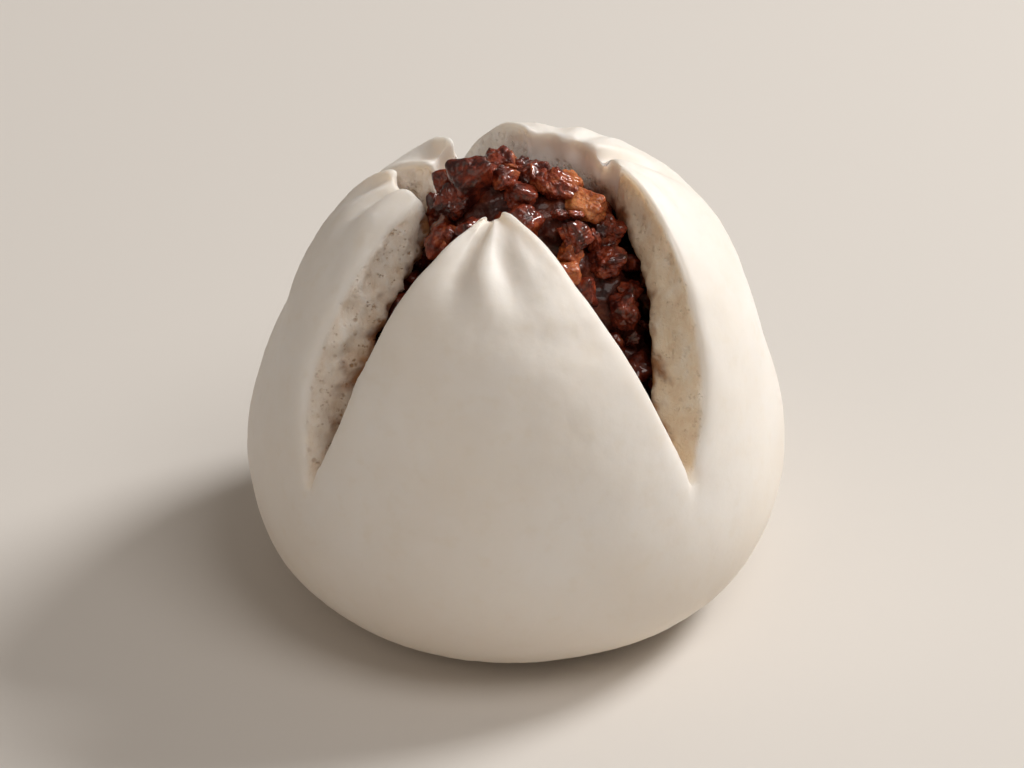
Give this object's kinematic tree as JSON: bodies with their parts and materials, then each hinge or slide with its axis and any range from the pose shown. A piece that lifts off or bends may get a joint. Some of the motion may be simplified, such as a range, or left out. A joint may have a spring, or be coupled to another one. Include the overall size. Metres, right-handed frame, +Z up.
{
  "type": "char siu bao bun",
  "caption": "Steamed white bun burst open at the crown into leaning petals, showing a heap of glazed roast pork filling.",
  "frame": {"origin": "middle of the bounding box's bottom face, on the surface the bun stands on", "axes": "+Z up; -Y towards the front, where the widest petal stands; +X to the viewer's right"},
  "size_m": [0.0665, 0.0667, 0.0585],
  "materials": {
    "dough": "matte steamed wheat dough, ivory white",
    "filling": "glossy dark red-brown glazed roast pork"
  },
  "bodies": {
    "root": {"bun_dough": "dough", "char_siu_filling": "filling"}
  },
  "joints": []
}
